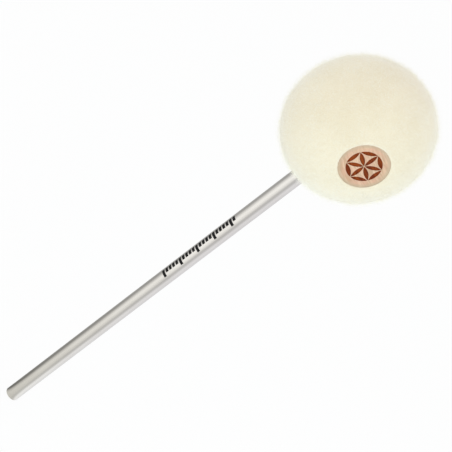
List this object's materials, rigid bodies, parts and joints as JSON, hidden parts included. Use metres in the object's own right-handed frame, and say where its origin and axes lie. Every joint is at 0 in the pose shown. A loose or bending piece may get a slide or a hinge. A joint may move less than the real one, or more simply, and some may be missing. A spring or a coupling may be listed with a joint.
{
  "type": "bass drum beater",
  "caption": "Bass drum beater: a slightly flattened ball of cream felt on a hardwood core, screwed to a straight round steel shaft.",
  "frame": {"origin": "centre of the flat lower end face of the shaft, the end that goes into a pedal's clamp", "axes": "+Z along the shaft from its lower end up into the head; Y along the wooden core, whose faces look along -Y and +Y; the felt strikes the drum along X"},
  "size_m": [0.062, 0.0474, 0.232],
  "materials": {
    "plated_steel": "polished",
    "brass": "satin",
    "hardwood": "satin",
    "felt": "matte"
  },
  "bodies": {
    "root": {"shaft": "plated_steel", "threaded_insert": "brass", "wooden_core": "hardwood", "felt_head": "felt"}
  },
  "joints": []
}
